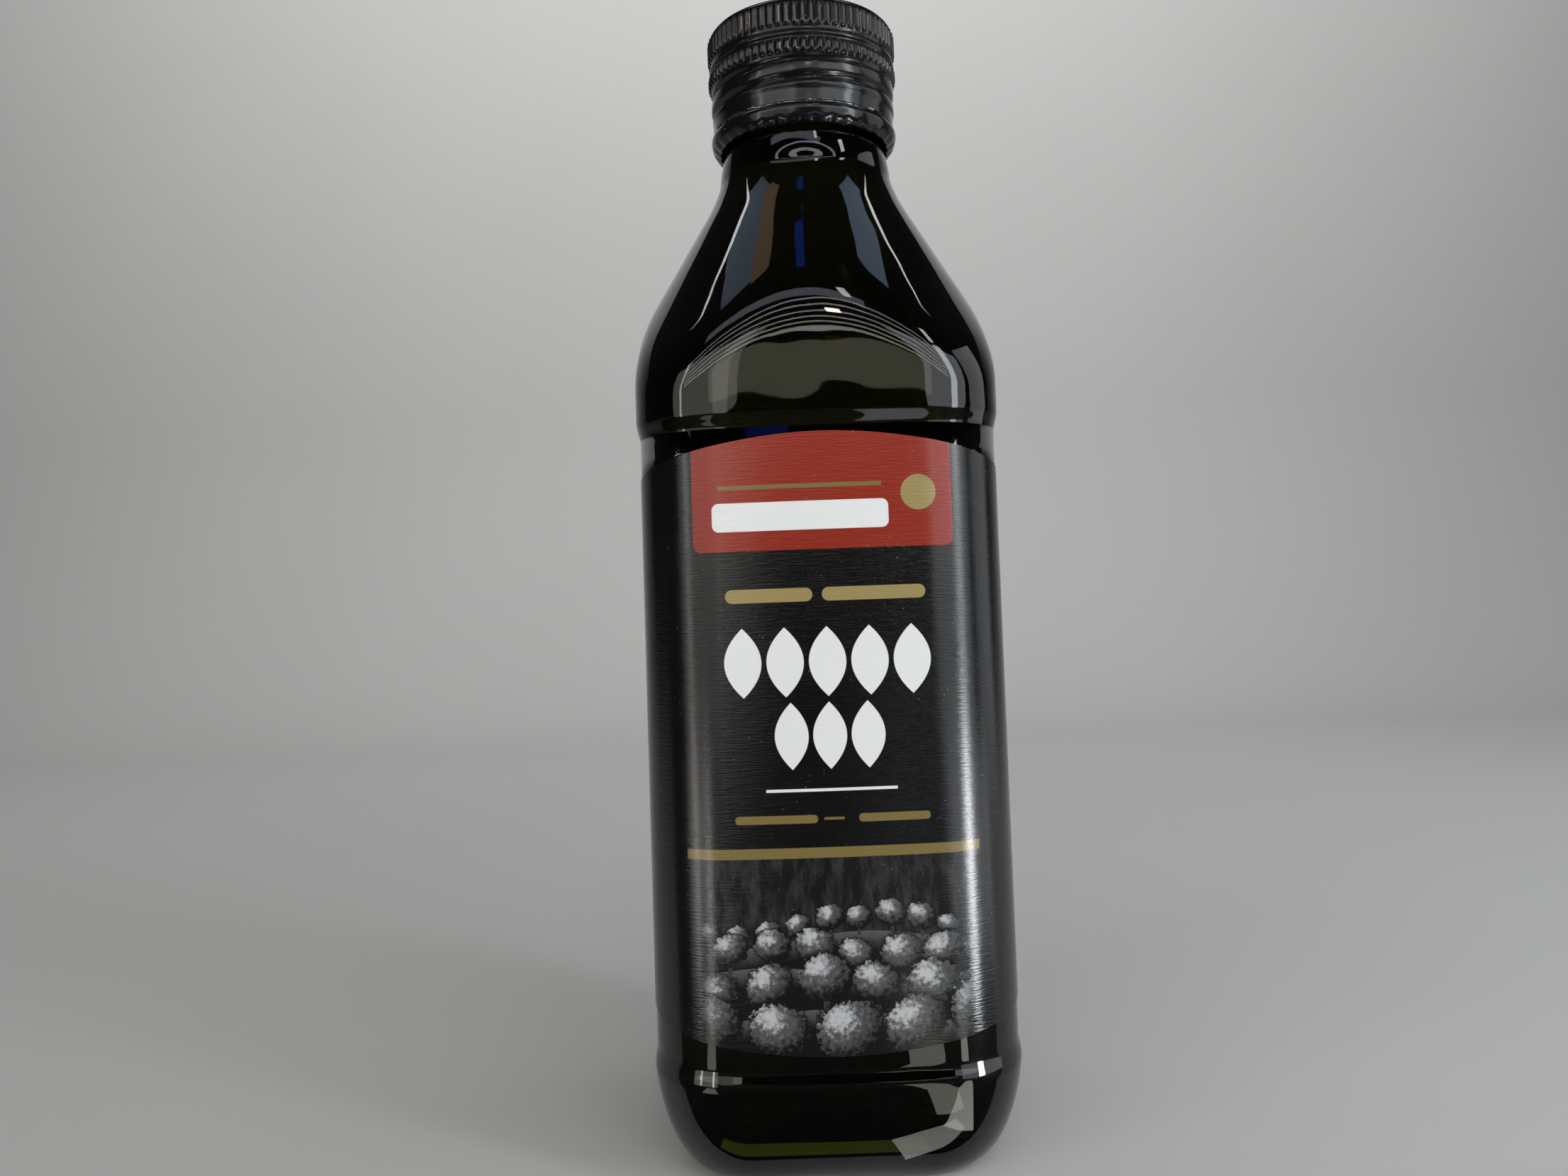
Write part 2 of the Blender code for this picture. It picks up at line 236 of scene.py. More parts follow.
def start_point(name, radius, height):
    """A new object in edit mode that holds one selected point on the side of +X."""
    bpy.ops.object.select_all(action="DESELECT")
    bpy.ops.mesh.primitive_circle_add(vertices=3, radius=0.001, location=(0.0, 0.0, 0.0))
    bpy.context.object.name = name
    bpy.context.object.data.name = name
    bpy.ops.object.mode_set(mode="EDIT")
    bpy.ops.mesh.select_mode(type="VERT")
    bpy.ops.mesh.select_all(action="SELECT")
    bpy.ops.mesh.merge(type="CENTER")
    bpy.ops.transform.translate(value=(radius, 0.0, height))


def lathe(name, profile, steps):
    """Draws a profile of (radius, height) points and spins it once round the axis."""
    start_point(name, *profile[0])
    for (r0, z0), (r1, z1) in zip(profile, profile[1:]):
        bpy.ops.mesh.extrude_vertices_move(TRANSFORM_OT_translate={"value": (r1 - r0, 0.0, z1 - z0)})
    bpy.ops.mesh.select_all(action="SELECT")
    bpy.ops.mesh.spin(steps=steps, angle=2.0 * math.pi, center=(0.0, 0.0, 0.0), axis=(0.0, 0.0, 1.0))
    bpy.ops.mesh.select_all(action="SELECT")
    bpy.ops.mesh.remove_doubles(threshold=0.000002)
    bpy.ops.mesh.normals_make_consistent(inside=False)
    bpy.ops.object.mode_set(mode="OBJECT")
    return bpy.context.object


def press(piece, new_reach):
    """Pushes every point to the reach that a rule gives for its angle, height and old reach."""
    for point in piece.data.vertices:
        x, y, height = point.co
        reach = math.hypot(x, y)
        if reach > 0.0:
            share = new_reach(math.atan2(y, x), height, reach) / reach
            point.co.x = x * share
            point.co.y = y * share


def report(piece):
    """Prints how fine a piece is and the volume in its skin, below zero where it faces inwards."""
    skin = bmesh.new()
    skin.from_mesh(piece.data)
    volume = skin.calc_volume(signed=True) * 1e6
    skin.free()
    print(piece.name, len(piece.data.polygons), "faces", round(volume, 1), "cm3")


print("lathe ready, three heights:", spread(0.0, 1.0, 3))

# %% [markdown]
# ## The glass
# The outside and the hollow are two skins. Each is turned on the lathe to the outline seen through
# the middle of a face, pressed to its mould, and then the two rims are bridged over the lip.
# Rings stand close together where the glass turns: at the heel, at the steps of the sunk label
# panel, over the arch of the shoulder and at the collar.

# %% Outer skin of the glass
ROUND_STEPS = 240
HEEL_RINGS = 26
STEP_RINGS = 9
ARCH_RINGS = 58
ARCH_TOP = 0.1466


def outside_heights():
    """Heights of the outer rings, from the heel up to the lip."""
    turns = [math.pi / 2.0 * i / HEEL_RINGS for i in range(1, HEEL_RINGS)]
    heel = [HEEL_HEIGHT * (1.0 - math.cos(turn)) for turn in turns]
    heights = [h for h in heel if h < RECESS_LOW]
    heights += spread(RECESS_LOW, RECESS_LOW + RECESS_BLEND, STEP_RINGS)
    heights += spread(HEEL_HEIGHT, RECESS_HIGH - 0.003, 16)
    heights += spread(RECESS_HIGH - RECESS_BLEND, RECESS_HIGH, STEP_RINGS)
    heights += spread(RECESS_HIGH + 0.0008, SHOULDER_HEIGHT, 5)
    heights += spread(SHOULDER_HEIGHT, ARCH_TOP, ARCH_RINGS)[1:] + spread(ARCH_TOP, COLLAR_LOW, 14)[1:]
    heights += spread(COLLAR_LOW, COLLAR_HIGH, 13)[1:]
    return heights + spread(COLLAR_HIGH, LIP_HEIGHT - LIP_ROUND, 5)[1:]


def underside_profile():
    """The hollow of the underside, from its middle out to the flat ring that the bottle rests on."""
    ring = outer_reach(0.0, 0.0) - REST_RING_WIDTH
    shares = [i / 14 for i in range(15)]
    dome = [(ring * s, PUSH_UP_DEPTH * math.cos(math.pi / 2.0 * s)) for s in shares]
    return dome + [(outer_reach(0.0, 0.0), 0.0)]


def press_outside(angle, height, reach):
    """Outer mould. The hollow of the underside turns from square at its edge to round at its middle."""
    rim = outer_reach(0.0, 0.0)
    if reach < rim + 0.1 * HAIR and height < PUSH_UP_DEPTH + HAIR:
        share = reach / rim
        return reach * (1.0 + (outer_reach(angle, 0.0) / rim - 1.0) * share * share)
    return reach if height > COLLAR_HIGH else outer_reach(angle, height)


profile = underside_profile() + [(outer_reach(0.0, h), h) for h in outside_heights()]
profile.append((NECK_RADIUS - LIP_ROUND, LIP_HEIGHT))
glass = lathe("bottle_glass", profile, ROUND_STEPS)
press(glass, press_outside)
report(glass)

# %% [markdown]
# The hollow is turned and pressed in the same way. Its floor rises a little in the middle, over the
# hollow of the underside, as the floor of a blown bottle does.

# %% Inner skin of the glass
FLOOR_RINGS = 8
CORNER_RINGS = 14


def hollow_profile():
    """The hollow seen through the middle of a face, from the middle of its floor up to the lip."""
    edge = hollow_reach(0.0, FLOOR)
    shares = [i / FLOOR_RINGS for i in range(FLOOR_RINGS)]
    floor = [(edge * s, FLOOR + FLOOR_RISE * (0.5 + 0.5 * math.cos(math.pi * s))) for s in shares]
    turns = [math.pi / 2.0 * i / CORNER_RINGS for i in range(CORNER_RINGS + 1)]
    heights = [FLOOR + INNER_HEEL_HEIGHT * (1.0 - math.cos(turn)) for turn in turns]
    heights += spread(0.0225, 0.1095, 12) + spread(0.1110, 0.1450, 30)
    heights += spread(0.1460, COLLAR_LOW + 0.002, 12) + spread(0.1650, LIP_HEIGHT - LIP_ROUND, 4)
    walls = [(hollow_reach(0.0, h), h) for h in heights]
    return floor + walls + [(BORE_RADIUS + LIP_ROUND, LIP_HEIGHT)]


def press_hollow(angle, height, reach):
    """Inner mould, whose floor keeps the square outline of its edge."""
    edge = hollow_reach(0.0, FLOOR)
    if reach < edge and height < FLOOR + FLOOR_RISE + HAIR:
        return reach * hollow_reach(angle, FLOOR) / edge
    return reach if height > COLLAR_HIGH else hollow_reach(angle, height)


hollow = lathe("hollow_skin", hollow_profile(), ROUND_STEPS)
press(hollow, press_hollow)
report(hollow)

# %% [markdown]
# Both skins end in a rim with the same number of points. A bridge between the rims gives the lip,
# and the glass is then one closed wall, so that the renderer knows where glass begins and ends.

# %% Join the skins over the lip
def join_over_rims(first, second):
    """Joins two open skins with the same number of rim points and bridges their rims."""
    bpy.ops.object.select_all(action="DESELECT")
    first.select_set(True)
    second.select_set(True)
    bpy.context.view_layer.objects.active = first
    bpy.ops.object.join()
    bpy.ops.object.mode_set(mode="EDIT")
    bpy.ops.mesh.select_mode(type="EDGE")
    bpy.ops.mesh.select_all(action="DESELECT")
    bpy.ops.mesh.select_non_manifold()
    bpy.ops.mesh.bridge_edge_loops()
    bpy.ops.object.mode_set(mode="OBJECT")
    bpy.ops.object.shade_smooth()


join_over_rims(glass, hollow)
report(glass)

# %% [markdown]
# ## The oil
# The oil fills the hollow. In a render, a thin gap between oil and glass would show as a silver
# film, because light turns back at the air in it. So the oil reaches just into the glass wall. At
# the top it climbs the wall a little, as a liquid does, and leaves air under the cap.

# %% Oil
INTO_WALL = 0.00012
MENISCUS = 0.0009
BELOW_SURFACE = 0.0008


def oil_profile():
    """The oil seen through the middle of a face, from the middle of its foot to that of its surface."""
    lower = [(r, h) for r, h in hollow_profile() if h < OIL_LEVEL - BELOW_SURFACE]
    sides = [(r + INTO_WALL if i else 0.0, h) for i, (r, h) in enumerate(lower)]
    foot = [(r, h - INTO_WALL) for r, h in sides[:FLOOR_RINGS + 1]] + sides[FLOOR_RINGS + 1:]
    wall = hollow_reach(0.0, OIL_LEVEL) + INTO_WALL
    climb = [(s, 1.0 - (1.0 - s) ** 3) for s in spread(0.0, 1.0, 7)]
    surface = [(wall - MENISCUS * 3.0 * s, OIL_LEVEL - MENISCUS * drop) for s, drop in climb]
    return foot + surface + [(wall * 0.4, OIL_LEVEL - MENISCUS), (0.0, OIL_LEVEL - MENISCUS)]


def press_oil(angle, height, reach):
    """Keeps the oil's outline that of the hollow, a hair wider."""
    level = max(height, FLOOR)
    edge = hollow_reach(0.0, level) + INTO_WALL
    return reach * (hollow_reach(angle, level) + INTO_WALL) / edge


oil = lathe("oil_fill", oil_profile(), ROUND_STEPS)
press(oil, press_oil)
bpy.ops.object.shade_smooth()
report(oil)

# %% [markdown]
# ## The label
# The label is one sheet wrapped round the sunk panel, its ends lapped at the back. To print on it
# without stretching, the way round the bottle is measured along the glass, from the middle of the
# front, by adding up short straight steps.

# %% Distance round the bottle
TURN_STEPS = 1440


def girth_table():
    """Angles from the middle of the front, one full turn, with the distance run at each."""
    angles, lengths = [0.0], [0.0]
    before = Vector((outer_reach(-math.pi / 2.0, PANEL_MIDDLE), 0.0))
    for i in range(1, TURN_STEPS + 1):
        angle = 2.0 * math.pi * i / TURN_STEPS
        reach = outer_reach(angle - math.pi / 2.0, PANEL_MIDDLE)
        here = Vector((reach * math.cos(angle), reach * math.sin(angle)))
        angles.append(angle)
        lengths.append(lengths[-1] + (here - before).length)
        before = here
    return angles, lengths


TURN_ANGLES, TURN_LENGTHS = girth_table()
GIRTH = TURN_LENGTHS[-1]
print("girth of the label panel:", round(GIRTH * 1000, 1), "mm")


def angle_at(distance):
    """Angle from the middle of the front at a distance round the panel."""
    turns, rest = divmod(distance, GIRTH)
    low, high = 0, TURN_STEPS
    while high - low > 1:
        middle = (low + high) // 2
        if TURN_LENGTHS[middle] > rest:
            high = middle
        else:
            low = middle
    share = (rest - TURN_LENGTHS[low]) / (TURN_LENGTHS[high] - TURN_LENGTHS[low])
    return turns * 2.0 * math.pi + TURN_ANGLES[low] + (TURN_ANGLES[high] - TURN_ANGLES[low]) * share


# %% [markdown]
# The sheet is drawn flat, as it leaves the printer: a grid, whose own grain runs along the print.
# The grid is then rolled round the bottle, and a Solidify modifier gives it the film's thickness.
# Its top edge bows up and its bottom edge bows down over the front and the back, as a sheet does
# that is cut to a wave. Each point keeps its place on the flat sheet, in millimetres, in the UV map.

# %% Label sheet
LABEL_TOP_DIP = 0.0070
LABEL_BOTTOM_DIP = 0.0062
LABEL_FILM = 0.00012
LABEL_LIFT = 0.00004
LABEL_LAP = 0.006
LABEL_LAP_RISE = 0.002
LABEL_END = 0.062
LABEL_COLUMNS = 300
LABEL_ROWS = 64


def label_dip(distance, dip):
    """How far an edge lies from its place at the middle of the front or the back."""
    return dip * (1.0 - math.cos(4.0 * math.pi * distance / GIRTH)) / 2.0


def roll_label(sheet):
    """Rolls the flat grid round the bottle and writes the UV map in millimetres."""
    places = []
    length = GIRTH + LABEL_LAP
    for point in sheet.data.vertices:
        distance = LABEL_END - length * (0.5 - point.co.x)
        top = LABEL_TOP - label_dip(distance, LABEL_TOP_DIP)
        bottom = LABEL_BOTTOM + label_dip(distance, LABEL_BOTTOM_DIP)
        height = bottom + (top - bottom) * (point.co.y + 0.5)
        places.append((distance * 1000.0, height * 1000.0))
        angle = angle_at(distance) - math.pi / 2.0
        lap = smooth_step((distance - LABEL_END + LABEL_LAP + LABEL_LAP_RISE) / LABEL_LAP_RISE)
        reach = outer_reach(angle, height) + LABEL_LIFT + (LABEL_FILM + LABEL_LIFT) * lap
        point.co = (reach * math.cos(angle), reach * math.sin(angle), height)
    for corner in sheet.data.loops:
        sheet.data.uv_layers.active.data[corner.index].uv = places[corner.vertex_index]


bpy.ops.object.select_all(action="DESELECT")
bpy.ops.mesh.primitive_grid_add(
    x_subdivisions=LABEL_COLUMNS, y_subdivisions=LABEL_ROWS, size=1.0, calc_uvs=True)
label = bpy.context.object
label.name = "wrap_label"
roll_label(label)
thickness = label.modifiers.new("film", "SOLIDIFY")
thickness.thickness = LABEL_FILM
thickness.offset = 1.0
bpy.ops.object.modifier_apply(modifier=thickness.name)
bpy.ops.object.shade_smooth_by_angle(angle=math.radians(40.0))
report(label)

# %% [markdown]
# ## The cap
# A roll-on cap starts as a plain thin cup of painted aluminium. Rollers press the neck's thread
# into its skirt, and tuck its lower edge under the collar of the glass. Its knurls give the
# fingers grip, and a slit with small bridges lets the lower ring stay on the neck when it is
# opened. Here too the cup is turned on the lathe, and then rolled by a rule.

# %% Cap profile
KNURLS = 72
CAP_STEPS = KNURLS * 8
KNURL_TIP = 0.01592
KNURL_ROOT = 0.01543
UPPER_KNURLS = (0.1786, 0.1823)
LOWER_KNURLS = (0.1743, 0.1764)
SKIRT_RADIUS = 0.01525
THREAD_LOW = 0.1684
THREAD_HIGH = 0.1740
THREAD_FRONT = 0.1704
THREAD_PITCH = 0.0031
THREAD_CREST = 0.0155
THREAD_DEPTH = 0.0007
THREAD_FADE = 0.0008
SLIT_HIGH = 0.16662
SLIT_LOW = 0.16630
SLIT_DEPTH = 0.0004
BRIDGES = 9
BRIDGE_HALF = math.radians(2.6)
CRIMP_HIGH = 0.1645
CRIMPS = 34
CRIMP_DEPTH = 0.00022
CAP_INNER_RADIUS = 0.0144
CAP_THICK = 0.0012
CROWN_BELOW_TOP = (
    (0.0, 0.00035), (0.0100, 0.00035), (0.0128, 0.0003), (0.0132, 0.00018), (0.0137, 0.00003),
    (0.0142, 0.0), (0.0147, 0.00005), (0.0151, 0.0002), (0.0154, 0.00045), (0.0156, 0.0008))
BEAD = (
    (0.01535, 0.17830), (0.01530, 0.17805), (0.01540, 0.17775), (0.01562, 0.17750),
    (0.01570, 0.17725), (0.01560, 0.17700), (0.01540, 0.17680), (0.01538, 0.17665))
RING = (
    (0.01534, 0.16622), (0.01552, 0.16600), (0.01564, 0.16570), (0.01568, 0.16540), (0.01564, 0.16510),
    (0.01556, 0.16480), (0.01548, 0.16450), (0.01533, 0.16410), (0.01510, 0.16375), (0.01480, 0.16345))


def straight(radius, high, low, count):
    """A straight run of the skirt, from its upper end down."""
    return [(radius, height) for height in spread(high, low, count)]


def cap_profile():
    """The cap's outline from the middle of its top, down the skirt, round the rim and back inside."""
    outline = [(radius, CAP_TOP - below) for radius, below in CROWN_BELOW_TOP]
    outline += straight(KNURL_ROOT, UPPER_KNURLS[1], UPPER_KNURLS[0], 12)
    outline += BEAD
    outline += straight(KNURL_ROOT, LOWER_KNURLS[1], LOWER_KNURLS[0], 8)
    outline += straight(SKIRT_RADIUS, THREAD_HIGH, THREAD_LOW, 30)
    outline += [(SKIRT_RADIUS, 0.1679), (SKIRT_RADIUS, 0.1672), (SKIRT_RADIUS, SLIT_HIGH + 0.00006)]
    outline += straight(SKIRT_RADIUS, SLIT_HIGH, SLIT_LOW, 4)
    outline += RING
    outline += [(0.01450, CAP_RIM), (0.01425, CAP_RIM + 0.00006), (0.01412, CAP_RIM + 0.0003)]
    outline += [(CAP_INNER_RADIUS, CAP_RIM + CAP_THICK), (CAP_INNER_RADIUS, CAP_TOP - CAP_THICK)]
    return outline + [(0.0, CAP_TOP - CAP_THICK)]


print("cap outline:", len(cap_profile()), "points")

# %% [markdown]
# Four rules dent the cup, as the rollers do: knurls that stand out in two rows, a thread valley that
# climbs one pitch in a turn, a slit that stops at its bridges, and waves along the tucked edge. They
# are rules and not cuts, so that the skin of the cap stays in one piece.

# %% Rules of the rollers
KNURL_FADE = 0.0004
SLIT_EDGE = math.radians(0.7)
SLIT_TURN = math.radians(5.0)


def knurl_share(height):
    """How fully the knurls stand at a height: they fade out at the ends of both rows."""
    share = 0.0
    for low, high in (UPPER_KNURLS, LOWER_KNURLS):
        share += smooth_step((height - low) / KNURL_FADE) * smooth_step((high - height) / KNURL_FADE)
    return share


def thread_drop(angle, height):
    """Depth of the rolled valley, which climbs one pitch in a turn, below the swollen skirt."""
    turn = (angle / (2.0 * math.pi) + 0.25) % 1.0
    phase = (height - THREAD_FRONT) / THREAD_PITCH - turn
    valley = (0.5 + 0.5 * math.cos(2.0 * math.pi * phase)) ** 3
    below = smooth_step((THREAD_HIGH - height) / THREAD_FADE)
    fade = smooth_step((height - THREAD_LOW) / THREAD_FADE) * below
    return (THREAD_DEPTH * valley - (THREAD_CREST - SKIRT_RADIUS)) * fade


def slit_share(angle, height):
    """1 in the slit, 0 outside it and at its bridges."""
    every = 2.0 * math.pi / BRIDGES
    away = abs((angle + SLIT_TURN + every / 2.0) % every - every / 2.0)
    inside = SLIT_LOW + 0.1 * HAIR < height < SLIT_HIGH + 0.1 * HAIR
    return smooth_step((away - BRIDGE_HALF) / SLIT_EDGE) if inside else 0.0


def crimp_wave(angle, height):
    """Shallow waves that the tucking roller leaves in the lower edge."""
    share = smooth_step((CRIMP_HIGH - height) / (CRIMP_HIGH - CAP_RIM - 0.0003))
    return CRIMP_DEPTH * share * (0.5 + 0.5 * math.cos(CRIMPS * angle)) ** 2


def press_cap(angle, height, reach):
    """The roller's rule for the outside of the cap. The inside stays plain."""
    if reach < KNURL_ROOT - 0.0009 and height > CRIMP_HIGH:
        return reach
    wave = 0.5 + 0.5 * math.cos(KNURLS * angle)
    knurl = (KNURL_TIP - KNURL_ROOT) * wave ** 0.7 * knurl_share(height)
    drop = thread_drop(angle, height) + SLIT_DEPTH * slit_share(angle, height)
    return reach + knurl - drop - crimp_wave(angle, height)


cap = lathe("roll_on_cap", cap_profile(), CAP_STEPS)
press(cap, press_cap)
bpy.ops.object.shade_smooth_by_angle(angle=math.radians(42.0))
report(cap)

# %% [markdown]
# ## Writing finishes as sums
# A finish is a small calculation that is done for every spot of a surface. With nodes, each plus
# and times is a box to place and wire. A small class makes this read like ordinary sums: it wraps
# a socket, and an expression on it adds the Math nodes.

# %% Values on a surface
class Value:
    """A number that changes over a surface, with the arithmetic of ordinary numbers."""

    def __init__(self, finish, socket):
        self.finish = finish
        self.socket = socket

    def __add__(self, other):
        return self.finish.maths("ADD", self, other)

    def __sub__(self, other):
        return self.finish.maths("SUBTRACT", self, other)

    def __mul__(self, other):
        return self.finish.maths("MULTIPLY", self, other)

    def __truediv__(self, other):
        return self.finish.maths("DIVIDE", self, other)

    def __pow__(self, other):
        return self.finish.maths("POWER", self, other)

    def __rsub__(self, other):
        return self.finish.maths("SUBTRACT", other, self)

    def __abs__(self):
        return self.finish.maths("ABSOLUTE", self)

    __radd__ = __add__
    __rmul__ = __mul__


print("sums on a surface:", [name for name in vars(Value) if name.startswith("__r")])

# %% [markdown]
# A finish holds a material and its nodes. One method adds any node, and short ones on top of it give
# what all finishes share: sums, soft edges, mixed colours, noise, specks and bumps.

# %% A finish and its nodes
class Finish:
    """A material in the making."""

    def __init__(self, name):
        self.material = bpy.data.materials.new(name)
        self.material.use_nodes = True
        self.tree = self.material.node_tree
        self.shader = self.tree.nodes["Principled BSDF"]

    def feed(self, socket, value):
        """Sets a socket to a plain value, or links it."""
        if isinstance(value, Value):
            value = value.socket
        if isinstance(value, bpy.types.NodeSocket):
            self.tree.links.new(value, socket)
        else:
            socket.default_value = value

    def node(self, kind, settings=None, sockets=None):
        """Adds a node: its settings first, then its sockets by value or link."""
        made = self.tree.nodes.new(kind)
        for name, value in (settings or {}).items():
            setattr(made, name, value)
        for name, value in (sockets or {}).items():
            self.feed(made.inputs[name], value)
        return made

    def maths(self, operation, *values):
        """A Math node as a value."""
        made = self.node("ShaderNodeMath", {"operation": operation}, dict(enumerate(values)))
        return Value(self, made.outputs[0])

    def ease(self, value, low, high):
        """Goes smoothly from 0 to 1 as a value goes from low to high."""
        sockets = {"Value": value, "From Min": low, "From Max": high}
        made = self.node("ShaderNodeMapRange", {"interpolation_type": "SMOOTHSTEP"}, sockets)
        return Value(self, made.outputs["Result"])

    def mix(self, share, first, second):
        """A colour between two colours."""
        made = self.node("ShaderNodeMix", {"data_type": "RGBA"}, {0: share, 6: first, 7: second})
        return made.outputs[2]

    def noise(self, place, scale, detail=3.0, roughness=0.5):
        """Cloudy noise from 0 to 1 at a place."""
        sockets = {"Vector": place, "Scale": scale, "Detail": detail, "Roughness": roughness}
        return Value(self, self.node("ShaderNodeTexNoise", None, sockets).outputs[0])

    def flecks(self, place, scale, size):
        """Small round specks scattered at random, as a mask."""
        made = self.node("ShaderNodeTexVoronoi", {"feature": "F1"}, {"Vector": place, "Scale": scale})
        return 1.0 - self.ease(Value(self, made.outputs["Distance"]), size * 0.6, size)

    def chance(self, cell):
        """A number from 0 to 1 drawn at random for each whole number."""
        made = self.node("ShaderNodeTexWhiteNoise", {"noise_dimensions": "1D"}, {"W": cell})
        return Value(self, made.outputs["Value"])

    def bump(self, height, strength, distance):
        """A Bump node over a height."""
        sockets = {"Strength": strength, "Distance": distance, "Height": height}
        return self.node("ShaderNodeBump", None, sockets).outputs[0]

    def paint(self, colour, roughness, normal=None):
        """Gives the shader its colour and roughness, and its bump where there is one."""
        self.feed(self.shader.inputs["Base Color"], colour)
        self.feed(self.shader.inputs["Roughness"], roughness)
        if normal is not None:
            self.feed(self.shader.inputs["Normal"], normal)

    def objects_place(self):
        """Object coordinates, in metres."""
        return self.node("ShaderNodeTexCoord").outputs["Object"]

    def dress(self, piece):
        """Puts the finish on a piece."""
        piece.data.materials.clear()
        piece.data.materials.append(self.material)


print("finish tools ready")

# %% [markdown]
# ## Green glass
# Dark green glass is not painted: the melt itself takes light away, so thick places look darker
# than thin ones. A Volume Absorption behind the surface does this. Its colour is what little is
# let through. The surface of moulded glass is never quite flat either, and slow ripples bend the
# reflections a little.

# %% Glass and oil
GLASS_PASSES = (0.61, 0.62, 0.20, 1.0)
GLASS_DENSITY = 1700.0
OIL_PASSES = (0.88, 0.82, 0.10, 1.0)
OIL_DENSITY = 70.0


def absorb(finish, colour, density):
    """Fills what the surface encloses with a matter that takes light away."""
    inside = finish.node("ShaderNodeVolumeAbsorption", None, {"Color": colour, "Density": density})
    finish.tree.links.new(inside.outputs[0], finish.tree.nodes["Material Output"].inputs["Volume"])


def make_glass():
    """Bottle glass: clear and glossy, rippled by the mould, with faint finger haze."""
    finish = Finish("green_bottle_glass")
    place = finish.objects_place()
    ripple = finish.noise(place, 70.0, 1.5)
    haze = finish.noise(place, 160.0, 4.0)
    tint = finish.mix(haze, (0.86, 0.90, 0.76, 1.0), (0.94, 0.96, 0.86, 1.0))
    finish.paint(tint, 0.02 + 0.03 * finish.ease(haze, 0.5, 0.8), finish.bump(ripple, 0.35, 0.0004))
    finish.shader.inputs["Transmission Weight"].default_value = 1.0
    finish.shader.inputs["IOR"].default_value = 1.52
    absorb(finish, GLASS_PASSES, GLASS_DENSITY)
    return finish


def make_oil():
    """Olive oil: a clear green-gold liquid."""
    finish = Finish("olive_oil")
    cloud = finish.noise(finish.objects_place(), 45.0, 2.0)
    finish.paint(finish.mix(cloud, (0.90, 0.88, 0.52, 1.0), (0.94, 0.93, 0.60, 1.0)), 0.0)
    finish.shader.inputs["Transmission Weight"].default_value = 1.0
    finish.shader.inputs["IOR"].default_value = 1.47
    absorb(finish, OIL_PASSES, OIL_DENSITY)
    return finish


make_glass().dress(glass)
make_oil().dress(oil)
print("glass lets through", GLASS_PASSES[:3])

# %% [markdown]
# ## Black cap
# The cap is lacquered aluminium: black, with a soft shine, fine dust in its grooves and bare metal
# where the slit was cut.

# %% Cap finish
def make_cap_paint():
    """Black lacquer on aluminium, worn to bare metal along the slit."""
    finish = Finish("black_cap_lacquer")
    place = finish.objects_place()
    split = finish.node("ShaderNodeSeparateXYZ", None, {0: place})
    height = Value(finish, split.outputs["Z"]) * 1000.0
    grain = finish.noise(place, 900.0, 3.0)
    smear = finish.noise(place, 120.0, 3.0)
    edge = 1.0 - finish.ease(abs(height - SLIT_HIGH * 1000.0), 0.03, 0.10)
    bare = edge * finish.ease(grain, 0.35, 0.6)
    dust = finish.flecks(place, 700.0, 0.13) * finish.ease(smear, 0.45, 0.7)
    black = finish.mix(smear, (0.0040, 0.0040, 0.0044, 1.0), (0.0075, 0.0075, 0.0080, 1.0))
    dusty = finish.mix(dust * 0.35, black, (0.35, 0.34, 0.32, 1.0))
    colour = finish.mix(bare, dusty, (0.55, 0.55, 0.56, 1.0))
    finish.paint(colour, 0.11 + 0.10 * smear + 0.25 * dust, finish.bump(grain, 0.12, 0.00005))
    finish.feed(finish.shader.inputs["Metallic"], bare)
    finish.shader.inputs["Specular IOR Level"].default_value = 0.40
    return finish


make_cap_paint().dress(cap)
print("cap finish:", cap.data.materials[0].name)

# %% [markdown]
# ## Printed label
# The print is laid out in millimetres: across is the distance round the bottle from the middle of
# the front, and up is the height above the table. Every field is a mask, a value that is 1 inside
# and 0 outside, and the colours are laid over each other in the order of the print. An image would
# do too, but masks stay sharp however near the camera comes.

# %% Shapes for the print
SOFT_EDGE = 0.06


class Print(Finish):
    """A finish with the label's millimetre plane and the shapes that are laid on it."""

    def __init__(self, name):
        super().__init__(name)
        plane = self.node("ShaderNodeUVMap", {"uv_map": "UVMap"})
        split = self.node("ShaderNodeSeparateXYZ", None, {0: plane.outputs[0]})
        self.plane = plane.outputs[0]
        self.across = Value(self, split.outputs["X"])
        self.up = Value(self, split.outputs["Y"])
        self.ink = None

    def greatest(self, a, b):
        """The greater of two values."""
        return self.maths("MAXIMUM", a, b)

    def inside(self, distance):
        """Mask of where a distance to an outline is below zero."""
        return 1.0 - self.ease(distance, -SOFT_EDGE, SOFT_EDGE)

    def bar(self, middle, half_wide, low, high, round_by=0.0):
        """A field with round corners, as a mask."""
        x = self.greatest(abs(self.across - middle) - (half_wide - round_by), 0.0)
        y = self.greatest(abs(self.up - (low + high) / 2.0) - ((high - low) / 2.0 - round_by), 0.0)
        if round_by == 0.0:
            return self.inside(self.greatest(x, y) - SOFT_EDGE)
        return self.inside((x * x + y * y) ** 0.5 - round_by)

    def lay(self, mask, colour):
        """Prints a colour where a mask is 1."""
        self.ink = self.mix(mask, self.ink, colour)


print("edges of the print are soft over", 2.0 * SOFT_EDGE, "mm")

# %% [markdown]
# The front is printed in red, white and gold on near-black film. Each field is laid by its middle,
# half its width, its lower and upper edge, and how far its corners are rounded.

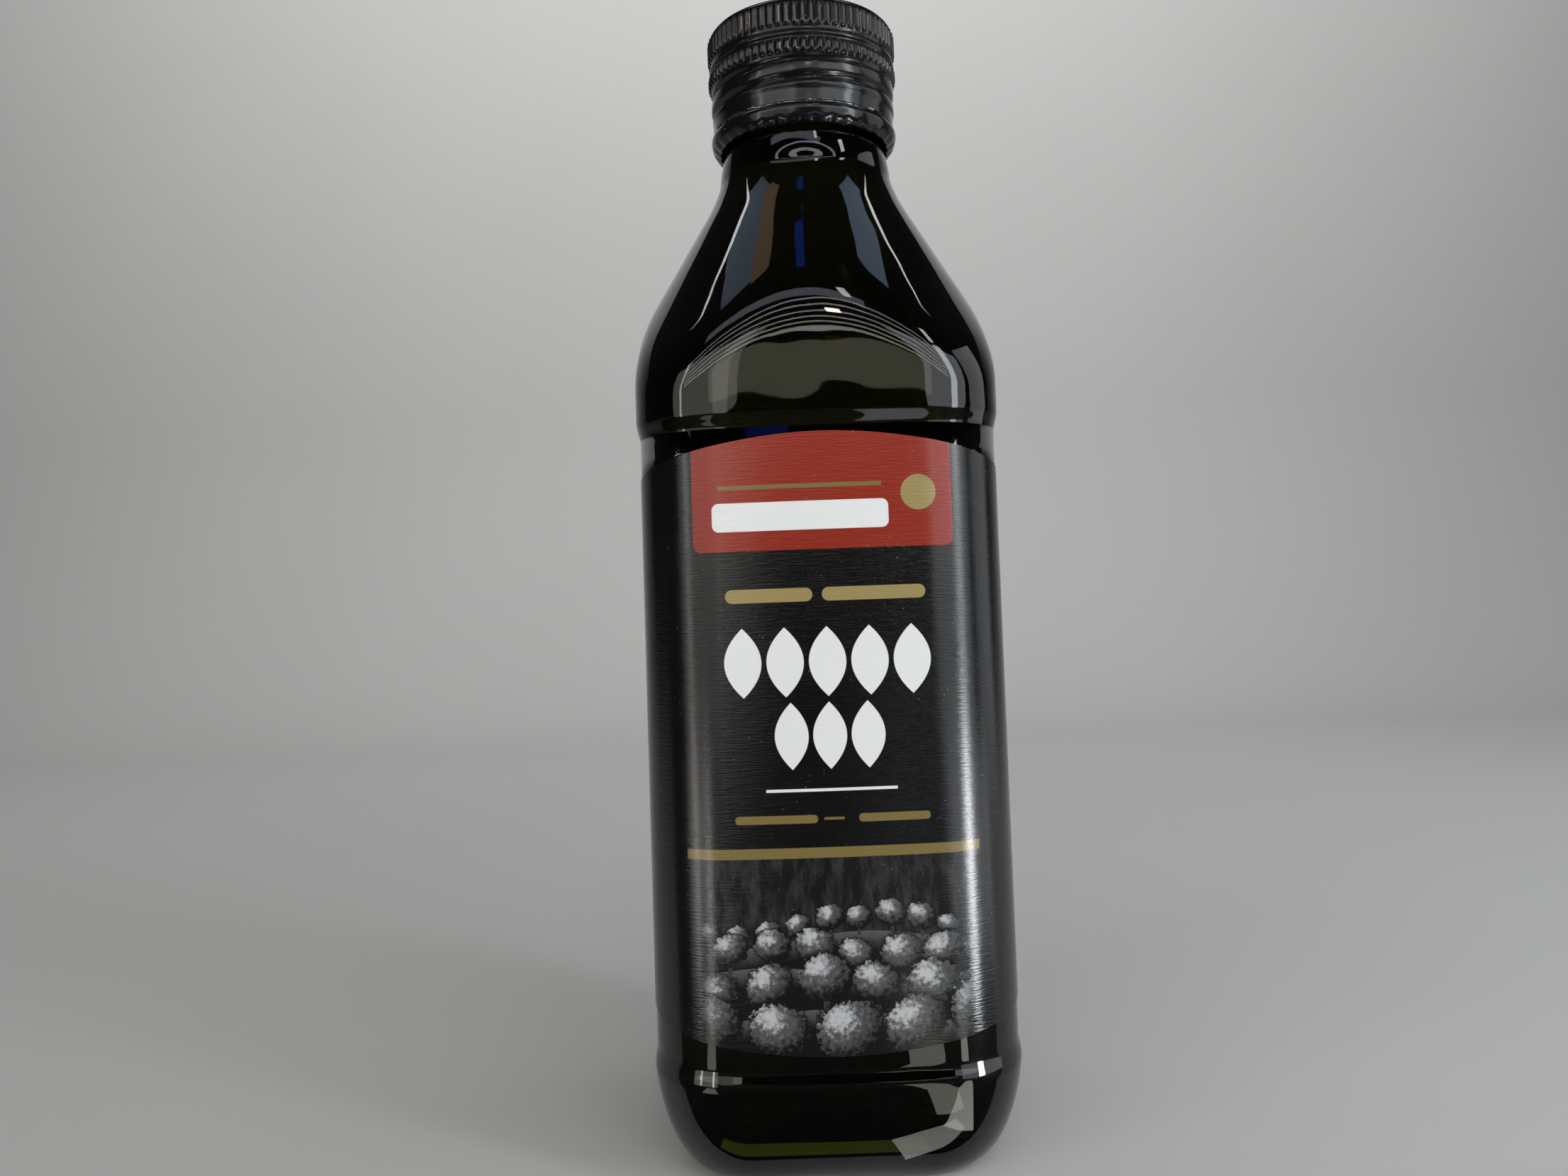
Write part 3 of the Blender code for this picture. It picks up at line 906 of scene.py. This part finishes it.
# %% Print layout
RED = (0.270, 0.024, 0.013, 1.0)
GOLD = (0.200, 0.150, 0.050, 1.0)
PALE_GOLD = (0.330, 0.260, 0.105, 1.0)
WHITE = (0.80, 0.81, 0.83, 1.0)
BLACK = (0.0040, 0.0042, 0.0048, 1.0)
BAR_GREY = (0.26, 0.27, 0.28, 1.0)


def leaf_row(p, low, high, pitch, count):
    """A row of upright leaf shapes centred on the front."""
    half_high = (high - low) / 2.0
    shift = pitch / 2.0 if count % 2 == 0 else 0.0
    place = p.maths("WRAP", p.across + shift, pitch / 2.0, -pitch / 2.0)
    rise = (p.up - (low + high) / 2.0) / half_high
    outline = abs(place) - pitch * 0.44 * (1.0 - rise * rise)
    return p.inside(outline) * p.bar(0.0, pitch * count / 2.0, low, high)


def lay_red_field(p):
    """Red field with a white bar, a thin gold line and a gold disc."""
    p.lay(p.bar(0.0, 19.3, 94.9, 130.0, 1.2), RED)
    p.lay(p.bar(-3.3, 13.0, 97.8, 102.0, 1.0), WHITE)
    p.lay(p.bar(-3.3, 12.0, 104.0, 104.5), GOLD)
    p.lay(p.bar(14.2, 2.6, 100.2, 105.4, 2.59), PALE_GOLD)


def lay_lines(p):
    """Gold bars, white leaf shapes and thin rules under the red field."""
    p.lay(p.bar(-8.3, 6.4, 87.3, 89.3, 0.99), PALE_GOLD)
    p.lay(p.bar(7.1, 7.6, 87.3, 89.3, 0.99), PALE_GOLD)
    p.lay(leaf_row(p, 73.4, 83.6, 6.2, 5), WHITE)
    p.lay(leaf_row(p, 62.8, 72.6, 5.6, 3), WHITE)
    p.lay(p.bar(0.0, 9.5, 59.65, 59.95), WHITE)
    p.lay(p.bar(-8.2, 6.0, 55.0, 56.2, 0.5), GOLD)
    p.lay(p.bar(0.2, 1.4, 55.5, 55.75), GOLD)
    p.lay(p.bar(9.0, 5.2, 55.0, 56.2, 0.5), GOLD)


print("red", RED[:3], "gold", GOLD[:3])

# %% [markdown]
# Under the gold rule lies a grey picture of an orchard. Each row is a slope with round trees on it:
# the way across is wrapped to the width of one tree, so that one crown gives the whole row, and a
# number drawn for each tree changes its size. Noise makes the crowns bushy. The far rows are laid
# first, and each nearer row covers the one behind it.

# %% Orchard picture
PICTURE_HALF = 21.0
PICTURE_TOP = 50.0
RULE_HALF = 21.7
NIGHT = (0.008, 0.0083, 0.0088, 1.0)
HAZE = (0.040, 0.041, 0.043, 1.0)
SHADE = (0.007, 0.0073, 0.008, 1.0)
MIDDLE_GREY = (0.095, 0.097, 0.102, 1.0)
LIGHT = (0.50, 0.51, 0.53, 1.0)
ORCHARD_ROWS = (
    (4.4, 1.0, 37.8, 2.3, 2.0),
    (6.1, 3.1, 32.8, 3.3, 2.9),
    (7.8, 1.9, 26.6, 4.3, 3.8),
    (9.8, -1.4, 19.6, 5.5, 4.8),
)


def stretched(p, across, up):
    """The label's plane, scaled unevenly, so that a noise on it runs into strokes."""
    return p.node("ShaderNodeMapping", None, {"Vector": p.plane, "Scale": (across, up, 1.0)}).outputs[0]


def lay_orchard_row(p, leaves, pitch, shift, foot, wide, high):
    """A rolling slope with a row of round trees of uneven size, lit from the upper left."""
    local = p.maths("WRAP", p.across + shift, pitch / 2.0, -pitch / 2.0)
    chance = p.chance((p.across + shift - local) / pitch)
    ground = foot + 1.2 * p.maths("SINE", p.across * 0.15 + shift)
    depth = ground - p.up
    p.lay(p.inside(-0.2 - depth), p.mix(p.ease(depth + 1.5 * leaves, 0.3, 3.6), MIDDLE_GREY, SHADE))
    size = 0.80 + 0.24 * chance
    x = (local - (chance - 0.5) * pitch * 0.12) / (wide * size)
    y = (p.up - ground - high * 1.30 - (chance - 0.5)) / (high * size)
    out = (x * x + y * y) ** 0.5 + 0.75 * (leaves - 0.5)
    lit_x = x + 0.30
    lit_y = y - 0.40
    lit = (lit_x * lit_x + lit_y * lit_y) ** 0.5 + 1.5 * (leaves - 0.5)
    side = p.mix(p.ease(lit, 0.55, 1.30), MIDDLE_GREY, SHADE)
    crown = p.mix(p.ease(lit, 0.10, 0.62), LIGHT, side)
    trunk = p.greatest(abs(x) - 0.12, abs(y + 1.1) - 0.45)
    p.lay(p.inside(trunk * wide), HAZE)
    p.lay(1.0 - p.ease(out, 0.95, 1.12), SHADE)
    p.lay(1.0 - p.ease(out, 0.90, 0.97), crown)


def lay_picture(p):
    """A grey picture under the gold rule: an orchard of round trees in rows."""
    before = p.ink
    leaves = p.noise(p.plane, 1.3, 4.0, 0.6)
    clouds = p.noise(stretched(p, 0.55, 0.16), 1.0, 5.0, 0.65)
    p.ink = p.mix(p.ease(clouds, 0.40, 0.72), NIGHT, HAZE)
    for row in ORCHARD_ROWS:
        lay_orchard_row(p, leaves, *row)
    fade = 1.0 - p.ease(abs(p.across), PICTURE_HALF - 4.0, PICTURE_HALF - 0.5)
    p.ink = p.mix(fade * p.inside(p.up - PICTURE_TOP), before, p.ink)
    p.lay(p.bar(0.0, RULE_HALF, PICTURE_TOP, PICTURE_TOP + 1.4), GOLD)


print("orchard of", len(ORCHARD_ROWS), "rows")

# %% [markdown]
# The back is plain: thin grey bars of uneven length, a pale field with upright bars, and a gold
# rule. The same wrap that repeats the trees repeats the bars here.

# %% Back of the label
BACK_MIDDLE = -GIRTH * 500.0
LINE_STEP = 2.2
BAR_STEP = 0.7


def lay_back(p):
    """Thin grey bars of uneven length, and a pale field with upright bars under them."""
    line = p.maths("WRAP", p.up, LINE_STEP / 2.0, -LINE_STEP / 2.0)
    chance = p.chance((p.up - line) / LINE_STEP)
    ends = abs(p.across - BACK_MIDDLE) - (16.0 - 5.0 * chance)
    block = p.inside(p.greatest(ends, abs(line) - 0.35))
    p.lay(block * p.bar(BACK_MIDDLE, 18.0, 63.8, 98.8), BAR_GREY)
    p.lay(p.bar(BACK_MIDDLE, 14.0, 36.0, 54.0, 0.8), WHITE)
    step = p.maths("WRAP", p.across, BAR_STEP / 2.0, -BAR_STEP / 2.0)
    bars = p.inside(abs(step) - 0.30 * p.chance((p.across - step) / BAR_STEP))
    p.lay(bars * p.bar(BACK_MIDDLE, 11.5, 39.0, 52.0), BLACK)
    p.lay(p.bar(BACK_MIDDLE, RULE_HALF, 102.5, 103.2), GOLD)


print("middle of the back at", round(BACK_MIDDLE, 1), "mm")

# %% [markdown]
# The film shines, but its grain runs round the bottle and breaks reflections into fine strokes. A
# noise stretched along the print gives the grain, and a Bump node turns it into light and shade.

# %% Label finish
def make_label():
    """Glossy film with a fine grain across it, printed, and dusted here and there."""
    p = Print("printed_label_film")
    p.ink = BLACK
    lay_red_field(p)
    lay_lines(p)
    lay_picture(p)
    lay_back(p)
    grain = p.noise(stretched(p, 0.30, 3.6), 1.0, 3.0, 0.6)
    patch = p.noise(p.plane, 0.12, 3.0)
    dust = p.flecks(p.plane, 0.9, 0.10) * p.ease(patch, 0.45, 0.65)
    p.lay(dust * 0.30, (0.5, 0.5, 0.48, 1.0))
    roughness = 0.10 + 0.05 * p.ease(patch, 0.35, 0.7) + 0.08 * grain + 0.3 * dust
    p.paint(p.ink, roughness, p.bump(grain, 1.0, 0.000050))
    return p


make_label().dress(label)
print("label finish:", len(label.data.materials[0].node_tree.nodes), "nodes")

# %% [markdown]
# ## Standing in for the solids
# Each fine piece rides on the same body as the solid that it stands for, and hides that solid.

# %% Tie the pieces to the frame
STANDS_FOR = (
    (glass, "bottle", "glass"),
    (oil, "oil", "oil"),
    (cap, "cap", "cap"),
    (label, "label", "label"),
)
for piece, node, slot in STANDS_FOR:
    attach(piece, "root")
    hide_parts(node)
    print(piece.name, "stands for", node)

# %% [markdown]
# ## Studio
# A pale table runs up into a pale wall without an edge, as a roll of paper does. It is a plane whose
# far edge is extruded in small steps round a quarter turn, and then once straight up.

# %% Table and wall
TABLE_SIZE = 3.0
WALL_BEHIND = 0.55
WALL_HEIGHT = 0.85
CURVE = 0.25
CURVE_STEPS = 12


def make_backdrop():
    """One sheet: table, curve and wall."""
    bpy.ops.object.select_all(action="DESELECT")
    bpy.ops.mesh.primitive_plane_add(size=TABLE_SIZE, location=(0.0, WALL_BEHIND - TABLE_SIZE / 2.0, 0.0))
    sheet = bpy.context.object
    sheet.name = "studio_sheet"
    bpy.ops.object.transform_apply(location=True)
    bpy.ops.object.mode_set(mode="EDIT")
    bpy.ops.mesh.select_mode(type="EDGE")
    bpy.ops.mesh.select_all(action="DESELECT")
    bpy.ops.object.mode_set(mode="OBJECT")
    for edge in sheet.data.edges:
        edge.select = all(sheet.data.vertices[v].co.y > WALL_BEHIND - CURVE for v in edge.vertices)
    bpy.ops.object.mode_set(mode="EDIT")
    turns = [math.pi / 2.0 * i / CURVE_STEPS for i in range(CURVE_STEPS + 1)]
    for a0, a1 in zip(turns, turns[1:]):
        move = (0.0, CURVE * (math.sin(a1) - math.sin(a0)), CURVE * (math.cos(a0) - math.cos(a1)))
        bpy.ops.mesh.extrude_edges_move(TRANSFORM_OT_translate={"value": move})
    bpy.ops.mesh.extrude_edges_move(TRANSFORM_OT_translate={"value": (0.0, 0.0, WALL_HEIGHT - CURVE)})
    bpy.ops.object.mode_set(mode="OBJECT")
    bpy.ops.object.shade_smooth()
    return sheet


def make_sheet_paint():
    """Pale matt paper with a faint mottle."""
    finish = Finish("pale_studio_paper")
    cloud = finish.noise(finish.objects_place(), 6.0, 3.0)
    finish.paint(finish.mix(cloud, (0.56, 0.56, 0.55, 1.0), (0.59, 0.59, 0.58, 1.0)), 0.85)
    return finish


backdrop = make_backdrop()
make_sheet_paint().dress(backdrop)
print("table and wall:", [round(side, 2) for side in backdrop.dimensions], "m")

# %% [markdown]
# Photographers lay a dark cloth in front of dark glass, so that the glass doesn't mirror a pale
# table. This one is out of the picture, and only mirrored rays meet it.

# %% Dark cloth
CLOTH_MIDDLE = (0.0, -0.627, 0.0006)
CLOTH_SIZE = (1.4, 1.2, 1.0)


def make_cloth():
    """A dark sheet on the table in front of the bottle, seen only as a reflection."""
    bpy.ops.object.select_all(action="DESELECT")
    bpy.ops.mesh.primitive_plane_add(size=1.0, location=CLOTH_MIDDLE)
    cloth = bpy.context.object
    cloth.name = "dark_cloth"
    cloth.scale = CLOTH_SIZE
    bpy.ops.object.transform_apply(location=True, scale=True)
    cloth.visible_camera = False
    cloth.visible_diffuse = False
    cloth.visible_shadow = False
    return cloth


def make_cloth_paint():
    """Dark woven cloth."""
    finish = Finish("dark_woven_cloth")
    weave = finish.noise(finish.objects_place(), 60.0, 4.0)
    finish.paint(finish.mix(weave, (0.020, 0.020, 0.020, 1.0), (0.050, 0.050, 0.048, 1.0)), 0.9)
    return finish


cloth = make_cloth()
make_cloth_paint().dress(cloth)
print("cloth covers", [round(side, 2) for side in cloth.dimensions], "m")

# %% [markdown]
# ## Lamps
# Dark glossy glass shows little of its own colour: it shows its lamps. So each lamp stands where the
# glass mirrors it to the camera, and its width is that of the streak it should draw. A lamp that
# would leave a pool of light on the table is kept to reflections alone.

# %% One soft lamp
def make_lamp(name, place, aim, wide, high, power, colour=(1.0, 1.0, 1.0), turn=0.0, gloss_only=False):
    """A soft rectangular lamp that looks at a point, turned about its own axis by degrees."""
    data = bpy.data.lights.new(name, "AREA")
    data.shape = "RECTANGLE"
    data.size = wide
    data.size_y = high
    data.energy = power
    data.color = colour
    lamp = bpy.data.objects.new(name, data)
    bpy.context.scene.collection.objects.link(lamp)
    lamp.visible_camera = False
    lamp.visible_diffuse = not gloss_only
    lamp.visible_transmission = not gloss_only
    lamp.location = place
    look = (Vector(aim) - Vector(place)).to_track_quat("-Z", "Y").to_matrix()
    lamp.rotation_euler = (look @ Matrix.Rotation(math.radians(turn), 3, "Z")).to_euler()


def make_lamps(rows, gloss_only=False):
    """Lamps from rows of name, place, aim, width, height, power, and sometimes colour and turn."""
    for row in rows:
        make_lamp(*row, gloss_only=gloss_only)
    print([row[0] for row in rows])


MIDDLE = (0.0, 0.0, 0.09)
NECK = (0.0, 0.0, 0.13)
COOL = (0.92, 0.96, 1.0)
WARM = (1.0, 0.97, 0.92)

# %% [markdown]
# Two windows stand at the sides and give broad pale bands down the corners. A narrow lamp beside
# each adds the brighter streak in the band.

# %% Windows at the sides
make_lamps((
    ("right_window", (0.417, -0.389, 0.22), MIDDLE, 0.55, 0.50, 1.35, COOL),
    ("right_streak", (0.461, -0.300, 0.22), MIDDLE, 0.08, 0.50, 0.75, COOL),
    ("right_side", (0.50, 0.03, 0.22), MIDDLE, 0.26, 0.45, 0.36, COOL),
    ("left_window", (-0.343, -0.455, 0.20), MIDDLE, 0.60, 0.45, 0.85, WARM),
    ("left_streak", (-0.445, -0.323, 0.20), MIDDLE, 0.025, 0.45, 0.17, WARM),
    ("left_edge", (-0.130, -0.555, 0.20), MIDDLE, 0.05, 0.45, 0.060, WARM),
))

# %% [markdown]
# The heel curves under, so it mirrors what is low and near. Small lamps stand by the foot, others lie
# on the table and look up, and one hangs high and draws a thin line on the shoulder.

# %% Lamps that show in the gloss alone
LEFT_FOOT = (-0.020, -0.027, 0.0265)
RIGHT_FOOT = (0.020, -0.027, 0.0265)
PALE_GREEN = (0.98, 1.0, 0.84)
OIL_GREEN = (0.85, 0.95, 0.10)
UP = 0.5
make_lamps((
    ("right_foot", (0.107, -0.077, 0.0265), RIGHT_FOOT, 0.12, 0.053, 0.028, COOL),
    ("right_foot_streak", (0.104, -0.0815, 0.0265), RIGHT_FOOT, 0.015, 0.053, 0.070, COOL),
    ("left_foot", (-0.094, -0.094, 0.0265), LEFT_FOOT, 0.06, 0.053, 0.014, WARM),
    ("left_foot_streak", (-0.101, -0.086, 0.0265), LEFT_FOOT, 0.005, 0.053, 0.005, WARM),
    ("left_glint", (-0.080, -0.107, 0.020), LEFT_FOOT, 0.004, 0.040, 0.005, WARM),
    ("right_arm", (0.037, -0.052, 0.002), (0.037, -0.0519, UP), 0.009, 0.054, 0.0050,
     (0.95, 1.0, 0.90), -38.0),
    ("right_inner_arm", (0.0235, -0.072, 0.002), (0.0235, -0.0719, UP), 0.009, 0.070, 0.0036,
     PALE_GREEN, -4.0),
    ("left_arm", (-0.0485, -0.060, 0.002), (-0.0485, -0.0599, UP), 0.012, 0.046, 0.0028,
     PALE_GREEN, 38.0),
    ("cone_line", (-0.043, -0.166, 0.73), (-0.043, -0.165, 0.0), 0.045, 0.09, 0.011, (0.03, 0.13, 1.0)),
    ("foot_line", (-0.004, -0.0290, 0.002), (-0.004, -0.0289, UP), 0.034, 0.003, 0.00011, OIL_GREEN),
    ("foot_bend", (0.015, -0.0305, 0.002), (0.015, -0.0304, UP), 0.014, 0.005, 0.00045, WARM, 20.0),
    ("front_right_patch", (0.095, -0.37, 0.003), (0.095, -0.369, UP), 0.10, 0.14, 0.057, COOL),
    ("front_left_patch", (-0.16, -0.38, 0.003), (-0.16, -0.379, UP), 0.08, 0.12, 0.030, WARM),
), gloss_only=True)

# %% [markdown]
# The cone of the shoulder leans back and mirrors what is overhead. Three lamps high up tint its
# sides, one orange and two blue.

# %% Lamps over the shoulder
make_lamps((
    ("right_high", (0.315, 0.005, 0.76), (0.315, 0.006, 0.0), 0.13, 0.16, 0.07, (0.55, 0.72, 1.0)),
    ("left_high_inner", (-0.235, -0.01, 0.76), (-0.235, -0.009, 0.0), 0.08, 0.20, 0.035, (1.0, 0.68, 0.42)),
    ("left_high_outer", (-0.34, 0.03, 0.76), (-0.34, 0.031, 0.0), 0.13, 0.22, 0.060, (0.60, 0.76, 1.0)),
))

# %% [markdown]
# Six long thin strips stand one above the other in front. The arch of the shoulder squeezes them into
# a sheaf of fine bowed lines.

# %% Thin strips in front
STRIP_AWAY = 0.75
STRIPS = (
    (44.0, (0.78, 0.82, 1.0)),
    (38.5, (1.0, 0.86, 0.84)),
    (32.5, (0.86, 0.88, 1.0)),
    (27.0, (1.0, 0.96, 0.94)),
    (22.0, (0.92, 1.0, 0.70)),
    (18.0, (0.95, 0.97, 0.90)),
)
for angle, tint in STRIPS:
    rise = math.radians(angle)
    place = (0.0, -STRIP_AWAY * math.cos(rise), NECK[2] + STRIP_AWAY * math.sin(rise))
    make_lamp("front_strip", place, NECK, 1.7, 0.019, 0.34, tint)
make_lamps((
    ("front_low", (0.06, -0.75, 0.300), (0.0, 0.0, 0.12), 0.66, 0.085, 0.15, (1.0, 1.0, 0.72)),
    ("small_spark", (0.05, -0.42, 0.40), NECK, 0.03, 0.03, 0.09, (1.0, 0.80, 0.60)),
    ("neck_panel", (-0.122, -0.456, 0.713), NECK, 0.75, 0.09, 0.24, (0.85, 0.88, 1.0)),
    ("neck_line", (0.149, -0.4585, 0.7145), NECK, 0.040, 0.09, 0.075),
    ("right_glint", (0.439, -0.3076, 0.58), NECK, 0.06, 0.10, 0.13),
))

# %% [markdown]
# One wide lamp washes the wall from above, out of the picture, and the air adds a trace of light.
# The plain view transform keeps the blacks deep.

# %% Wall, air and view
AIR = (0.9, 0.95, 1.0, 1.0)
AIR_STRENGTH = 0.02
make_lamp("back_wash", (0.0, 0.20, 0.95), (0.0, 1.2, 0.55), 1.20, 0.30, 6.0)
bpy.context.scene.view_settings.view_transform = "Standard"
world = bpy.data.worlds.new("studio_air")
world.use_nodes = True
world.node_tree.nodes["Background"].inputs["Color"].default_value = AIR
world.node_tree.nodes["Background"].inputs["Strength"].default_value = AIR_STRENGTH
bpy.context.scene.world = world
print("lamps:", len(bpy.data.lights))

# %% [markdown]
# ## Camera
# The camera stands close in front, a little to the left of the axis, at half the bottle's height,
# and leans over slightly, as a phone held by hand does.

# %% Camera
CAMERA_PLACE = (-0.005986, -0.2005, 0.08736)
CAMERA_LENS = 27.05
CAMERA_TILT = 0.0116
CAMERA_ROLL = 0.0347
SENSOR_WIDTH = 36.0
NEAREST = 0.01

camera_data = bpy.data.cameras.new("camera")
camera_data.lens = CAMERA_LENS
camera_data.sensor_width = SENSOR_WIDTH
camera_data.clip_start = NEAREST
camera = bpy.data.objects.new("camera", camera_data)
bpy.context.scene.collection.objects.link(camera)
camera.location = CAMERA_PLACE
lean = Matrix.Rotation(-CAMERA_ROLL, 3, "Z")
camera.rotation_euler = (Matrix.Rotation(math.pi / 2.0 + CAMERA_TILT, 3, "X") @ lean).to_euler()
bpy.context.scene.camera = camera
print("camera at", [round(side, 3) for side in camera.location], "m, lens", CAMERA_LENS, "mm")

# %% [markdown]
